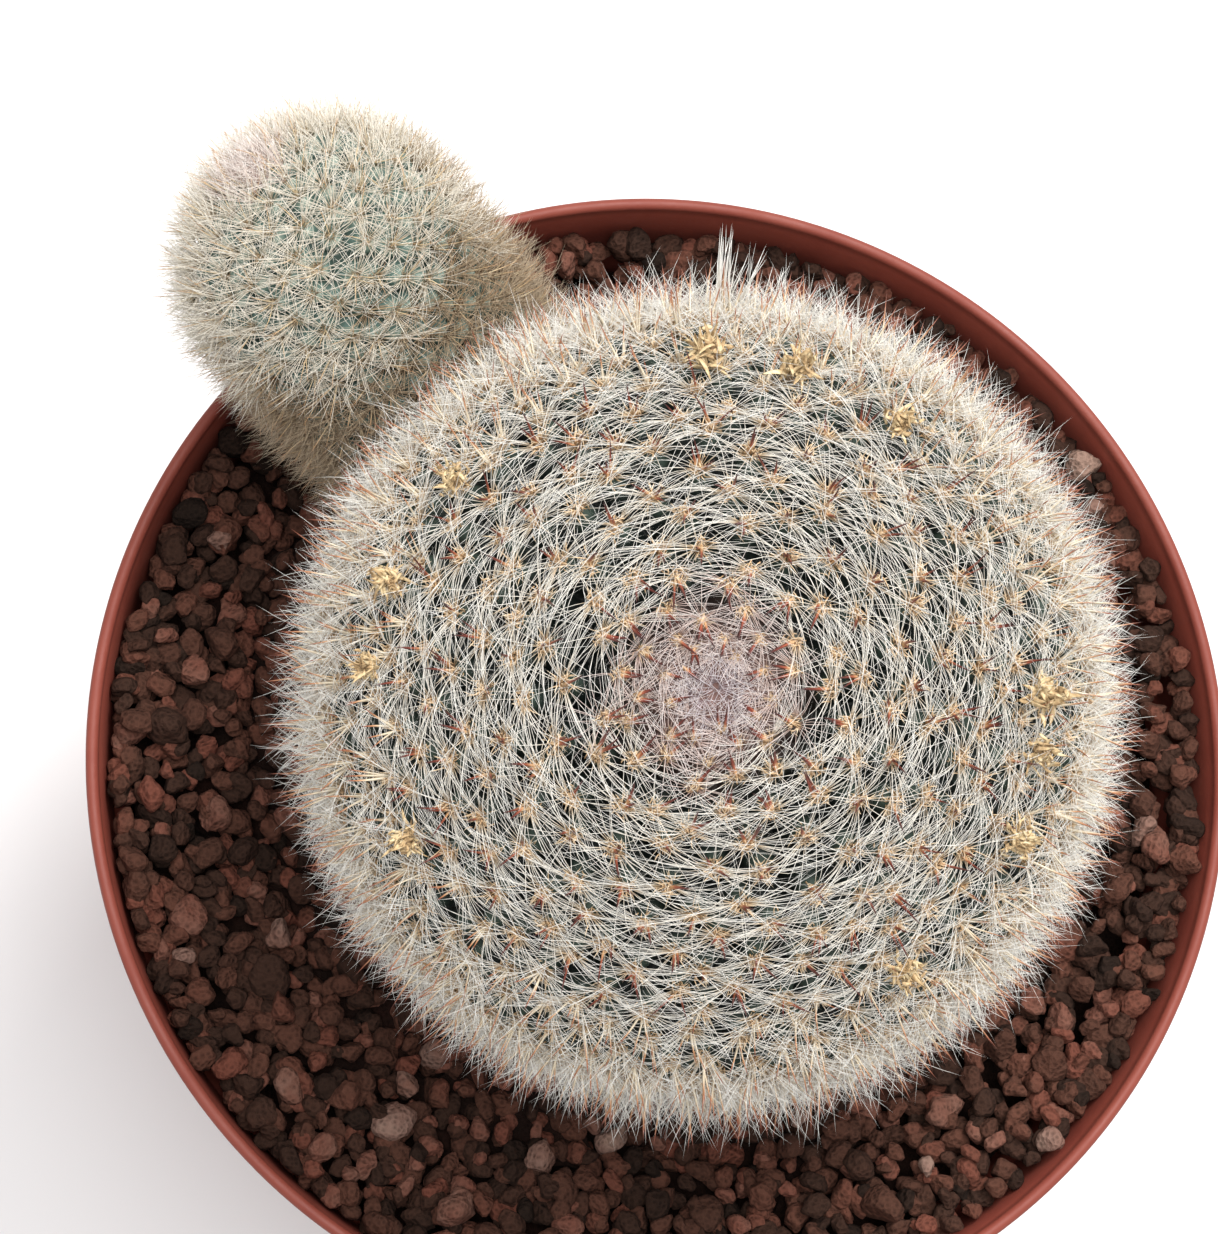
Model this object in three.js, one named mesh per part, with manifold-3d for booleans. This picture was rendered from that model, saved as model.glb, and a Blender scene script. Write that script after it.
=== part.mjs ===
// A clustering globe cactus with one leaning pup, in a round plastic nursery pot.
// Millimetres, +Z up. The origin is the middle of the pot's flat underside.
import * as THREE from 'three';
import { mergeVertices } from 'three/addons/utils/BufferGeometryUtils.js';
import Module from 'manifold-3d';

const wasm = await Module();
wasm.setup();
const { Manifold, Mesh: SolidMesh } = wasm;

// ---------------------------------------------------------------- driving sizes
const FIT_GAP = 0.3;              // clearance between pieces that touch

const POT_RIM_DIAMETER = 120;
const POT_HEIGHT = 98;
const POT_BASE_DIAMETER = 84;
const POT_WALL = 1.3;
const POT_COLLAR_HEIGHT = 14;     // stiff band below the lip
const POT_COLLAR_STEP = 1.0;      // how far that band stands proud of the wall
const DRAIN_HOLE_DIAMETER = 8;
const DRAIN_HOLE_COUNT = 8;

const GRIT_DEPTH_BELOW_LIP = 12;  // headspace left for watering
const GRIT_LAYER = 8;             // depth of the lava top dressing
const GRIT_RELIEF = 0.9;          // height of the bumps on its surface

const HEAD_BODY_DIAMETER = 71.6;  // green body, without spines
const HEAD_WIDEST_AT = 38;        // along its axis, from the grit
const HEAD_HEIGHT = 71;           // grit to crown
const HEAD_NECK_RADIUS = 21;      // where the body enters the grit
const HEAD_ROOT_LENGTH = 15;      // blunt root end below the grit
const HEAD_SPINE_REACH = 6.2;     // thickness of its coat of spines
const FLOWER_RING_HEIGHT = 63.5;  // along its axis, where last season's flowers opened
const FLOWER_RING_UNEVEN = 1.6;   // how much that height varies

const PUP_BODY_DIAMETER = 24.4;
const PUP_STEM_LENGTH = 46;       // from its joint to the centre of its dome
const PUP_FOOT_RADIUS = 8.5;
const PUP_SPINE_REACH = 4.4;

// ---------------------------------------------------------------- derived sizes
const RIM_R = POT_RIM_DIAMETER / 2;
const BASE_R = POT_BASE_DIAMETER / 2;
const SHOULDER_Z = POT_HEIGHT - POT_COLLAR_HEIGHT;
const COLLAR_FOOT_R = RIM_R - 1.4;
const WALL_TOP_R = COLLAR_FOOT_R - POT_COLLAR_STEP;
const GRIT_Z = POT_HEIGHT - GRIT_DEPTH_BELOW_LIP;
const MIX_TOP_Z = GRIT_Z - GRIT_LAYER;
const HEAD_R = HEAD_BODY_DIAMETER / 2;
const PUP_R = PUP_BODY_DIAMETER / 2;

// Where each head grows: a point on its axis and the way that axis leans.
const HEAD_SEAT = new THREE.Vector3(4.9, 6.5, GRIT_Z);
const HEAD_LEAN = new THREE.Vector3(-0.130, -0.117, 0.984).normalize();
const PUP_DOME_ABOVE_LIP = 22;    // high enough for its spines to clear the lip
const PUP_DOME = new THREE.Vector3(-36.4, 46.0, POT_HEIGHT + PUP_DOME_ABOVE_LIP);
const PUP_LEAN = new THREE.Vector3(-0.588, 0.495, 0.640).normalize();

// ---------------------------------------------------------------- solid helpers
function toSolid(geometry) {
  const bare = geometry.clone();
  bare.deleteAttribute('normal');
  if (bare.hasAttribute('uv')) bare.deleteAttribute('uv');
  const welded = mergeVertices(bare, 1e-4);
  return new Manifold(new SolidMesh({
    numProp: 3,
    vertProperties: new Float32Array(welded.attributes.position.array),
    triVerts: new Uint32Array(welded.index.array),
  }));
}

function toGeometry(solid) {
  const mesh = solid.getMesh();
  const geometry = new THREE.BufferGeometry();
  const points = new Float32Array(mesh.numVert * 3);
  for (let i = 0; i < mesh.numVert; i++) {
    for (let k = 0; k < 3; k++) points[3 * i + k] = mesh.vertProperties[mesh.numProp * i + k];
  }
  geometry.setAttribute('position', new THREE.BufferAttribute(points, 3));
  geometry.setIndex(Array.from(mesh.triVerts));
  geometry.computeVertexNormals();
  return geometry;
}

// Small leftovers of a cut are dropped: only the biggest body is the piece.
function biggestBody(solid) {
  const bodies = solid.decompose();
  return bodies.reduce((a, b) => (b.volume() > a.volume() ? b : a));
}

// A closed solid of rings round +Z. Each row is [height, radius]; the first and
// last rows close on the axis. ripple(angle, height) adds relief to the radius.
function ringSolid(rows, turns, ripple = () => 0) {
  const points = [];
  const faces = [];
  const inner = rows.slice(1, -1);
  points.push(0, 0, rows[0][0]);
  for (const [z, r] of inner) {
    for (let i = 0; i < turns; i++) {
      const a = (2 * Math.PI * i) / turns;
      const rr = r + ripple(a, z);
      points.push(rr * Math.cos(a), rr * Math.sin(a), z);
    }
  }
  points.push(0, 0, rows[rows.length - 1][0]);
  const top = points.length / 3 - 1;
  const at = (row, i) => 1 + row * turns + (i % turns);
  for (let i = 0; i < turns; i++) {
    faces.push(0, at(0, i + 1), at(0, i));
    faces.push(top, at(inner.length - 1, i), at(inner.length - 1, i + 1));
    for (let row = 0; row < inner.length - 1; row++) {
      faces.push(at(row, i), at(row, i + 1), at(row + 1, i + 1));
      faces.push(at(row, i), at(row + 1, i + 1), at(row + 1, i));
    }
  }
  const geometry = new THREE.BufferGeometry();
  geometry.setAttribute('position', new THREE.Float32BufferAttribute(points, 3));
  geometry.setIndex(faces);
  return geometry;
}

function lathe(profile, turns) {
  const outline = profile.map(([r, z]) => new THREE.Vector2(r, z));
  const geometry = new THREE.LatheGeometry(outline, turns);
  geometry.rotateX(Math.PI / 2);
  return geometry;
}

// Stands a solid that was made round +Z on a seat, leaning along an axis.
function stand(geometry, seat, lean) {
  const turn = new THREE.Quaternion().setFromUnitVectors(new THREE.Vector3(0, 0, 1), lean);
  geometry.applyQuaternion(turn);
  geometry.translate(seat.x, seat.y, seat.z);
  return geometry;
}

function above(z) {
  const block = new THREE.BoxGeometry(400, 400, 400);
  block.translate(0, 0, z + 200);
  return toSolid(block);
}

// Repeatable pseudo-random numbers, so the build is the same every time.
function numberStream(seed) {
  let state = seed >>> 0;
  return () => {
    state = (Math.imul(state, 1664525) + 1013904223) >>> 0;
    return state / 4294967296;
  };
}

// ---------------------------------------------------------------- the big head
// Radius of the green body at a height along its axis. grow widens it evenly.
function headRadius(s, grow = 0) {
  if (s >= HEAD_WIDEST_AT) {
    const k = (s - HEAD_WIDEST_AT) / (HEAD_HEIGHT + grow - HEAD_WIDEST_AT);
    return (HEAD_R + grow) * Math.sqrt(Math.max(0, 1 - k ** 2.15));
  }
  if (s >= 0) {
    const swell = Math.sin(((Math.PI / 2) * s) / HEAD_WIDEST_AT);
    return HEAD_NECK_RADIUS + (HEAD_R - HEAD_NECK_RADIUS) * swell + grow;
  }
  const k = -s / (HEAD_ROOT_LENGTH + grow);
  return (HEAD_NECK_RADIUS + grow) * Math.sqrt(Math.max(0, 1 - k * k));
}

function headSolid(grow, low, turns, ripple) {
  const rows = [[low, 0]];
  const lowRows = low < 0 ? [0.96, 0.75, 0.4].map((k) => k * low) : [];
  if (low >= 0) lowRows.push(low);
  lowRows.forEach((s) => rows.push([s, headRadius(s, grow)]));
  const climb = turns > 50 ? 7 : 5;
  for (let i = low < 0 ? 0 : 1; i <= climb; i++) {
    const s = Math.max(low, 0) + ((HEAD_WIDEST_AT - Math.max(low, 0)) * i) / climb;
    rows.push([s, headRadius(s, grow)]);
  }
  const dome = turns > 50 ? 12 : 8;
  const topZ = HEAD_HEIGHT + grow;
  for (let i = 1; i < dome; i++) {
    const s = HEAD_WIDEST_AT + (topZ - HEAD_WIDEST_AT) * Math.sin(((Math.PI / 2) * i) / dome);
    rows.push([s, headRadius(s, grow)]);
  }
  rows.push([topZ, 0]);
  return toSolid(stand(ringSolid(rows, turns, ripple), HEAD_SEAT, HEAD_LEAN));
}

const HEAD_ROW_COUNT = 16;        // spiral rows of spine clusters each way
function clusterRipple(depth, rowsRound, wave) {
  return (angle, s) => {
    const left = Math.cos(rowsRound * angle + wave * s);
    const right = Math.cos(rowsRound * angle - wave * s);
    return depth * left * right;
  };
}

const headStem = headSolid(0, -HEAD_ROOT_LENGTH, 40);
const headStemRoom = headSolid(FIT_GAP, -HEAD_ROOT_LENGTH - FIT_GAP, 40);
const headRipple = clusterRipple(0.7, HEAD_ROW_COUNT / 2, 0.42);
const headCoatOuter = headSolid(HEAD_SPINE_REACH, 1, 64, headRipple);
const headCoatRoom = headSolid(HEAD_SPINE_REACH + FIT_GAP, 0.5, 64, headRipple);

// ---------------------------------------------------------------- the pup
function pupRadius(s, grow) {
  if (s >= 0) {
    const k = Math.min(1, s / (PUP_R + grow));
    return (PUP_R + grow) * Math.sqrt(1 - k * k);
  }
  const k = -s / PUP_STEM_LENGTH;
  return PUP_R + (PUP_FOOT_RADIUS - PUP_R) * k * k + grow;
}

function pupSolid(grow, foot, turns, ripple) {
  const rows = [[-foot, 0]];
  const steps = 7;
  for (let i = 0; i <= steps; i++) {
    const s = -foot * (1 - i / steps);
    rows.push([s, pupRadius(s, grow)]);
  }
  for (let i = 1; i < 6; i++) {
    const s = (PUP_R + grow) * Math.sin(((Math.PI / 2) * i) / 6);
    rows.push([s, pupRadius(s, grow)]);
  }
  rows.push([PUP_R + grow, 0]);
  return toSolid(stand(ringSolid(rows, turns, ripple), PUP_DOME, PUP_LEAN));
}

const pupWhole = pupSolid(0, PUP_STEM_LENGTH, 30);
const pupRoom = pupSolid(FIT_GAP, PUP_STEM_LENGTH + FIT_GAP, 30);
const pupStem = biggestBody(pupWhole.subtract(headStemRoom));
const pupCoatOuter = pupSolid(PUP_SPINE_REACH, 33, 40, clusterRipple(0.4, 4, 0.6));

// ---------------------------------------------------------------- spine coats
// Spines end above the grit, and bend aside where the pup hangs over the lip.
const coatFloor = above(GRIT_Z + GRIT_RELIEF + 0.5);
const lipRoom = toSolid(lathe([
  [COLLAR_FOOT_R - POT_WALL - FIT_GAP, SHOULDER_Z], [RIM_R + FIT_GAP, SHOULDER_Z],
  [RIM_R + FIT_GAP, POT_HEIGHT + FIT_GAP], [RIM_R - POT_WALL - FIT_GAP, POT_HEIGHT + FIT_GAP],
  [COLLAR_FOOT_R - POT_WALL - FIT_GAP, SHOULDER_Z],
], 80));
const headCoat = biggestBody(
  headCoatOuter.subtract(headStemRoom).subtract(pupRoom).intersect(coatFloor),
);
const pupCoat = biggestBody(
  pupCoatOuter.subtract(headCoatRoom).subtract(pupRoom).subtract(lipRoom).intersect(coatFloor),
);

// ---------------------------------------------------------------- the pot
const inset = POT_WALL;
const potProfile = [
  [0, 0], [BASE_R - 1.5, 0], [BASE_R - 0.4, 0.4], [BASE_R, 1.6],
  [WALL_TOP_R, SHOULDER_Z - 0.6], [COLLAR_FOOT_R, SHOULDER_Z],
  [RIM_R, POT_HEIGHT - 0.7], [RIM_R - 0.25, POT_HEIGHT - 0.15],
  [RIM_R - 0.65, POT_HEIGHT], [RIM_R - 1.05, POT_HEIGHT - 0.15],
  [RIM_R - inset, POT_HEIGHT - 0.7], [COLLAR_FOOT_R - inset, SHOULDER_Z + 0.4],
  [WALL_TOP_R - inset, SHOULDER_Z - 1.2], [BASE_R - inset, 2.6],
  [BASE_R - inset - 1.2, POT_WALL], [0, POT_WALL],
];
let potBody = toSolid(lathe(potProfile, 80));
for (let i = 0; i < DRAIN_HOLE_COUNT; i++) {
  const drill = new THREE.CylinderGeometry(
    DRAIN_HOLE_DIAMETER / 2, DRAIN_HOLE_DIAMETER / 2, 3 * POT_WALL, 16,
  );
  drill.rotateX(Math.PI / 2);
  const a = (2 * Math.PI * (i + 0.5)) / DRAIN_HOLE_COUNT;
  const reach = BASE_R - DRAIN_HOLE_DIAMETER - 2;
  drill.translate(reach * Math.cos(a), reach * Math.sin(a), POT_WALL / 2);
  potBody = potBody.subtract(toSolid(drill));
}

// Inner radius of the pot wall at a height, less the fit gap.
function roomInside(z) {
  const wallSlope = (WALL_TOP_R - BASE_R) / (SHOULDER_Z - 2.2);
  const collarSlope = (RIM_R - COLLAR_FOOT_R) / (POT_HEIGHT - 0.7 - SHOULDER_Z);
  const wall = BASE_R + wallSlope * (z - 1.6);
  const collar = COLLAR_FOOT_R + collarSlope * (z - SHOULDER_Z);
  return (z < SHOULDER_Z ? wall : collar) - POT_WALL - 2 * FIT_GAP;
}

// ---------------------------------------------------------------- mix and grit
const mixFloor = POT_WALL + FIT_GAP;
const mixProfile = [
  [0, mixFloor], [roomInside(mixFloor) - 2.2, mixFloor], [roomInside(5), 5],
  [roomInside(MIX_TOP_Z), MIX_TOP_Z], [0, MIX_TOP_Z],
];
const mixSolid = toSolid(lathe(mixProfile, 60)).subtract(headStemRoom);

// The bed is a disc with a bumpy top, set on the mix.
function gritBed() {
  const turns = 50;
  const radii = [10, 20, 28, 35, 41, 46.5, 51.5];
  const edge = roomInside(SHOULDER_Z - 1.2) - 0.4;
  const random = numberStream(41);
  const points = [0, 0, MIX_TOP_Z + FIT_GAP];
  const faces = [];
  const ring = (r, z) => {
    for (let i = 0; i < turns; i++) {
      const a = (2 * Math.PI * i) / turns;
      points.push(r * Math.cos(a), r * Math.sin(a), z());
    }
  };
  const bump = () => GRIT_Z + GRIT_RELIEF * (2 * random() - 1);
  ring(roomInside(MIX_TOP_Z + FIT_GAP) - 0.1, () => MIX_TOP_Z + FIT_GAP);
  ring(edge, () => SHOULDER_Z - 1.6);
  ring(edge, () => GRIT_Z - 0.8);
  [...radii].reverse().forEach((r) => ring(r, bump));
  points.push(0, 0, GRIT_Z);
  const rings = radii.length + 3;
  const last = points.length / 3 - 1;
  const at = (row, i) => 1 + row * turns + (i % turns);
  for (let i = 0; i < turns; i++) {
    faces.push(0, at(0, i + 1), at(0, i), last, at(rings - 1, i), at(rings - 1, i + 1));
    for (let row = 0; row < rings - 1; row++) {
      faces.push(at(row, i), at(row, i + 1), at(row + 1, i + 1));
      faces.push(at(row, i), at(row + 1, i + 1), at(row + 1, i));
    }
  }
  const geometry = new THREE.BufferGeometry();
  geometry.setAttribute('position', new THREE.Float32BufferAttribute(points, 3));
  geometry.setIndex(faces);
  return toSolid(geometry);
}

// ---------------------------------------------------------------- lava stones
// [direction from the pot's axis in degrees, distance from it, half length]
const STONES = [
  [8, 49, 2.9], [352, 52, 2.4], [336, 47.5, 3.2], [322, 52, 2.6], [309, 47, 2.8],
  [296, 51.5, 3.3], [283, 46.5, 2.5], [270, 51, 3.0], [257, 46, 2.6], [245, 51.5, 3.2],
  [233, 46.5, 2.9], [221, 51.5, 2.5], [209, 46.5, 3.3], [198, 52, 2.7], [187, 47, 2.4],
  [176, 51.5, 3.1], [165, 47.5, 2.6], [153, 52, 2.9], [24, 52.5, 2.5], [40, 51.5, 2.8],
  [56, 53, 2.3], [73, 52.5, 2.7], [263, 39.5, 2.3], [232, 38.5, 2.4],
];

function stoneGeometry(index, halfLength, grow) {
  const random = numberStream(900 + index);
  const stone = new THREE.IcosahedronGeometry(1, 1);
  stone.deleteAttribute('normal');
  stone.deleteAttribute('uv');
  const body = mergeVertices(stone, 1e-4);
  const place = body.attributes.position;
  const stretch = [1, 0.72 + 0.2 * random(), 0.62 + 0.18 * random()];
  for (let i = 0; i < place.count; i++) {
    const push = halfLength * (0.86 + 0.24 * random()) + grow;
    place.setXYZ(
      i, place.getX(i) * push * stretch[0], place.getY(i) * push * stretch[1],
      place.getZ(i) * push * stretch[2],
    );
  }
  body.rotateZ(Math.PI * random());
  body.rotateX(0.5 * (random() - 0.5));
  return body;
}

let grit = gritBed().subtract(headStemRoom).subtract(pupRoom);
const stonePieces = STONES.map(([degrees, distance, halfLength], index) => {
  const a = THREE.MathUtils.degToRad(degrees);
  const x = distance * Math.cos(a);
  const y = distance * Math.sin(a);
  const z = GRIT_Z + 0.12 * halfLength;
  const piece = stoneGeometry(index, halfLength, 0).translate(x, y, z);
  const pocket = stoneGeometry(index, halfLength, 1.8 * FIT_GAP).translate(x, y, z);
  grit = grit.subtract(toSolid(pocket));
  return toSolid(piece);
});
grit = biggestBody(grit);

// ---------------------------------------------------------------- dried flowers
// They sit in a loose ring round the crown: [direction in degrees, width].
const DRIED_FLOWERS = [
  [90, 5.4], [75, 5.0], [55, 4.4], [140, 4.2], [160, 4.6], [175, 4.0],
  [0, 4.8], [-10, 4.4], [-25, 4.6], [-55, 4.2], [-155, 4.0],
];

// A withered flower: a crumpled cup that narrows to a stub among the spines.
function flowerGeometry(index, width) {
  const random = numberStream(3300 + index);
  const half = width / 2;
  const rows = [[-1.6, 0], [-1.4, 0.55 * half], [-0.2, 0.8 * half], [1.0, 0.98 * half],
    [1.9, 0.8 * half], [2.4, 0.45 * half], [2.0, 0]];
  return ringSolid(rows, 11, () => half * 0.34 * (random() - 0.5));
}

const ringRandom = numberStream(57);
const flowerPieces = DRIED_FLOWERS.map(([degrees, width], index) => {
  const a = THREE.MathUtils.degToRad(degrees);
  const s = FLOWER_RING_HEIGHT + FLOWER_RING_UNEVEN * (ringRandom() - 0.5);
  const r = headRadius(s, HEAD_SPINE_REACH);
  const seat = new THREE.Vector3(r * Math.cos(a), r * Math.sin(a), s);
  const slope = (headRadius(s - 0.5, HEAD_SPINE_REACH) - headRadius(s + 0.5, HEAD_SPINE_REACH));
  const out = new THREE.Vector3(Math.cos(a), Math.sin(a), slope).normalize();
  const turn = new THREE.Quaternion().setFromUnitVectors(new THREE.Vector3(0, 0, 1), out);
  const flower = flowerGeometry(index, width);
  flower.applyQuaternion(turn);
  flower.translate(seat.x, seat.y, seat.z);
  return biggestBody(toSolid(stand(flower, HEAD_SEAT, HEAD_LEAN)).subtract(headCoatRoom));
});

// ---------------------------------------------------------------- the assembly
const group = new THREE.Group();
group.name = 'potted_round_cactus';

function addPiece(name, solid, color, roughness) {
  const tidy = biggestBody(solid.simplify(0.02));
  const material = new THREE.MeshStandardMaterial({ color, roughness, metalness: 0 });
  material.name = name;
  const mesh = new THREE.Mesh(toGeometry(tidy), material);
  mesh.name = name;
  group.add(mesh);
}

addPiece('pot', potBody, 0xa8573f, 0.5);
addPiece('potting_mix', mixSolid, 0x3a2a20, 0.95);
addPiece('lava_gravel_bed', grit, 0x4c2a22, 0.95);
addPiece('main_stem', headStem, 0x56685a, 0.6);
addPiece('offset_stem', pupStem, 0x5f7264, 0.6);
addPiece('main_spine_coat', headCoat, 0xd9d2c0, 0.8);
addPiece('offset_spine_coat', pupCoat, 0xc4c0ac, 0.8);
stonePieces.forEach((solid, index) => {
  const shade = [0x6b3a30, 0x5a3830, 0x7d4437, 0x8a6a62][index % 4];
  addPiece(`lava_stone_${String(index + 1).padStart(2, '0')}`, solid, shade, 0.95);
});
flowerPieces.forEach((solid, index) => {
  addPiece(`dried_flower_${String(index + 1).padStart(2, '0')}`, solid, 0xb8965c, 0.9);
});

export default group;
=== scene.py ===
# %% [markdown]
# # A potted round cactus
# This lesson dresses a finished solid model of a globe cactus in its nursery pot.
# The solids give every place and size. Here each one gets the surface that a plant
# and its pot really have: thousands of separate spines, wool, lava grit and plastic.

# %% Load the solid model
import math

import bmesh
import bpy
import numpy as np
from mathutils import Matrix, Vector, kdtree
from mathutils.geometry import delaunay_2d_cdt


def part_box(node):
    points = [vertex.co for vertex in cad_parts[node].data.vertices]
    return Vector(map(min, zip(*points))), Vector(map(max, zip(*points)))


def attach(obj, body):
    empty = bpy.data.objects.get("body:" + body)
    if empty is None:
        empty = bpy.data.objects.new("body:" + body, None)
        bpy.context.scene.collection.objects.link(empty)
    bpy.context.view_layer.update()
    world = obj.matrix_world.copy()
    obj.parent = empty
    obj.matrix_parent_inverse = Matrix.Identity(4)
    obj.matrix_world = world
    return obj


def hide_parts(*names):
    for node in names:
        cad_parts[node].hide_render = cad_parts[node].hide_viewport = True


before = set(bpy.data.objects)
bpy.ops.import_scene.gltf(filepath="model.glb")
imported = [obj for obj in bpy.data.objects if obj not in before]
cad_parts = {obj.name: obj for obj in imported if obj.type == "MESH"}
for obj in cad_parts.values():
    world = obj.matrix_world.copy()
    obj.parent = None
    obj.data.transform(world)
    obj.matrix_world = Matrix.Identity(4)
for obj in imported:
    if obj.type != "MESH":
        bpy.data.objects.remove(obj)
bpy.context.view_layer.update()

MM = 0.001

# %% [markdown]
# ## Sizes
# Everything below is in millimetres, from the grit surface or the pot's base, and
# repeats the sizes of the solids, so the spines land exactly on the stems.

# %% Sizes of the pot, the grit and the two heads
POT_RIM_R, POT_HEIGHT, POT_BASE_R = 60.0, 98.0, 42.0
POT_WALL, COLLAR_HEIGHT, COLLAR_STEP = 1.3, 14.0, 1.0
GRIT_Z = 86.0
HOLE_COUNT, HOLE_R, HOLE_OUT = 8, 4.0, 32.0   # drainage holes in the base
HOLE_FIRST, PLATE_R = math.radians(22.5), 38.0
POT_TURNS, HOLE_TURNS = 256, 32               # corners round the pot and round a hole

HEAD_SEAT = np.array([4.9, 6.5, GRIT_Z])
HEAD_LEAN = np.array([-0.130, -0.117, 0.984])
HEAD_R, HEAD_NECK_R = 35.8, 21.0
HEAD_WIDEST_AT, HEAD_HEIGHT = 38.0, 71.0

PUP_DOME = np.array([-36.4, 46.0, 120.0])
PUP_LEAN = np.array([-0.588, 0.495, 0.640])
PUP_R, PUP_FOOT_R, PUP_LENGTH = 12.2, 8.5, 46.0

HEAD_TIP, PUP_TIP = 1.3, 1.2        # how far a tubercle stands out of the stem's outline
BANK_AT_WALL, BANK_MORE = 5.0, 3.2  # how much higher the grit lies against the pot's wall
BANK_SIDE = math.radians(-8)        # the side where it lies highest
STONE_LIFT = 0.8                    # the larger stones lie on the grains, not in them
PALE_SIDE, PALE_HALF_WIDTH = math.radians(-120), math.radians(40)   # where pale grains gather

rng = np.random.default_rng(20)


def unit(v):
    """Scales vectors to length one along their last axis."""
    return v / np.maximum(np.linalg.norm(v, axis=-1, keepdims=True), 1e-12)


def smoothstep(x, low, high):
    """Rises smoothly from 0 at low to 1 at high."""
    t = np.clip((x - low) / (high - low), 0, 1)
    return t * t * (3 - 2 * t)


print("head width mm:", 2 * HEAD_R, "pup width mm:", 2 * PUP_R)

# %% [markdown]
# ## Helpers for making pieces
# A spine is a slim three-sided needle. Tens of thousands of them are quick to make
# when their corners are worked out together, so each bundle becomes one mesh.

# %% Build a mesh piece from plain arrays
def mesh_piece(name, points_mm, triangles, material, layout=None):
    """Makes one piece from points in millimetres and triangles, and lets it ride."""
    mesh = bpy.data.meshes.new(name)
    mesh.vertices.add(len(points_mm))
    mesh.vertices.foreach_set("co", (np.asarray(points_mm) * MM).astype(np.float32).ravel())
    mesh.loops.add(len(triangles) * 3)
    mesh.loops.foreach_set("vertex_index", np.asarray(triangles, np.int32).ravel())
    mesh.polygons.add(len(triangles))
    mesh.polygons.foreach_set("loop_start", np.arange(0, len(triangles) * 3, 3, dtype=np.int32))
    mesh.polygons.foreach_set("use_smooth", np.ones(len(triangles), bool))
    mesh.update(calc_edges=True)
    if layout is not None:
        uv = mesh.uv_layers.new(name="OFBake")
        uv.data.foreach_set("uv", np.asarray(layout, np.float32).ravel())
    mesh.validate()
    mesh.materials.append(material)
    piece = bpy.data.objects.new(name, mesh)
    bpy.context.scene.collection.objects.link(piece)
    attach(piece, "root")
    return piece


def keep_on_mesh(piece, name, values):
    """Keeps one value for each point, which the finish reads by its name."""
    kept = piece.data.attributes.new(name, "FLOAT", "POINT")
    kept.data.foreach_set("value", np.asarray(values, np.float32))


def net_faces(rows, turns):
    """Triangles of a net of points in closed rows."""
    i = np.arange(turns)
    n = (i + 1) % turns
    faces = []
    for k in range(rows - 1):
        p, q, r, s = k * turns + i, k * turns + n, (k + 1) * turns + n, (k + 1) * turns + i
        faces += [np.stack([p, q, r], 1), np.stack([p, r, s], 1)]
    return np.concatenate(faces)


def needle_pattern(rings):
    """Triangles and surface layout of one three-sided needle with that many rings."""
    faces, layout = [], []
    tip = 3 * rings
    span = 1.0 / rings
    for k in range(rings - 1):
        for j in range(3):
            n = (j + 1) % 3
            a, b, c, d = 3 * k + j, 3 * k + n, 3 * k + 3 + n, 3 * k + 3 + j
            u0, u1 = k * span, (k + 1) * span
            v0, v1 = j / 3, (j + 1) / 3
            faces += [(a, b, c), (a, c, d)]
            layout += [((u0, v0), (u0, v1), (u1, v1)), ((u0, v0), (u1, v1), (u1, v0))]
    for j in range(3):
        n = (j + 1) % 3
        v0, v1 = j / 3, (j + 1) / 3
        faces.append((3 * (rings - 1) + j, 3 * (rings - 1) + n, tip))
        layout.append((((rings - 1) * span, v0), ((rings - 1) * span, v1), (1.0, (v0 + v1) / 2)))
    faces.append((0, 2, 1))
    layout.append(((0.0, 0.0), (0.0, 1.0), (0.02, 0.5)))
    return np.array(faces), np.array(layout)


def needles(roots, ways, bends, lengths, widths, rings, taper, draw):
    """Points, triangles and layout of many needles.

    A needle runs from its root along its way and curves by its bend."""
    count = len(roots)
    t = np.linspace(0, 1, rings + 1)
    path = roots[:, None, :] + lengths[:, None, None] * (
        ways[:, None, :] * t[None, :, None] + bends[:, None, :] * (t ** 2)[None, :, None])
    level = np.abs(ways[:, 2:3]) < 0.8
    side = unit(np.cross(ways, np.where(level, [[0.0, 0.0, 1.0]], [[1.0, 0.0, 0.0]])))
    over = np.cross(ways, side)
    girth = (widths / 2)[:, None] * (1 - t[None, :rings]) ** taper
    angles = np.arange(3) * 2 * math.pi / 3 + 0.4
    ring = (side[:, None, None, :] * np.cos(angles)[None, None, :, None]
            + over[:, None, None, :] * np.sin(angles)[None, None, :, None])
    body = path[:, :rings, None, :] + girth[:, :, None, None] * ring
    points = np.concatenate([body.reshape(count, rings * 3, 3), path[:, rings:, :]], axis=1)
    faces, layout = needle_pattern(rings)
    per = rings * 3 + 1
    triangles = (np.arange(count) * per)[:, None, None] + faces[None]
    shade = draw.random(count) * 0.97
    wrap = np.empty((count,) + layout.shape)
    wrap[..., 0] = 0.01 + 0.98 * layout[None, ..., 0]
    wrap[..., 1] = 0.01 + shade[:, None, None] + 0.012 * layout[None, ..., 1]
    return points.reshape(-1, 3), triangles.reshape(-1, 3), wrap.reshape(-1, 2)


def joined(parts):
    """Joins several (points, triangles, layout) sets into one."""
    points, triangles, layouts, start = [], [], [], 0
    for p, f, w in parts:
        points.append(p)
        triangles.append(f + start)
        layouts.append(w.reshape(-1, 2))
        start += len(p)
    return np.concatenate(points), np.concatenate(triangles), np.concatenate(layouts)


print("triangles in a needle of three rings:", len(needle_pattern(3)[0]))

# %% [markdown]
# ## Node materials
# Each finish is a small network of nodes: noise for blotches and grain, a ramp for
# the colours, and a bump for the fine relief that meshes can't carry. A kit of short
# calls adds the nodes and links them.

# %% A small kit for node materials
def srgb(r, g, b):
    """Turns screen colour steps from 0 to 255 into linear light."""
    c = np.array([r, g, b]) / 255
    return tuple(np.where(c <= 0.04045, c / 12.92, ((c + 0.055) / 1.055) ** 2.4))


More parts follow.
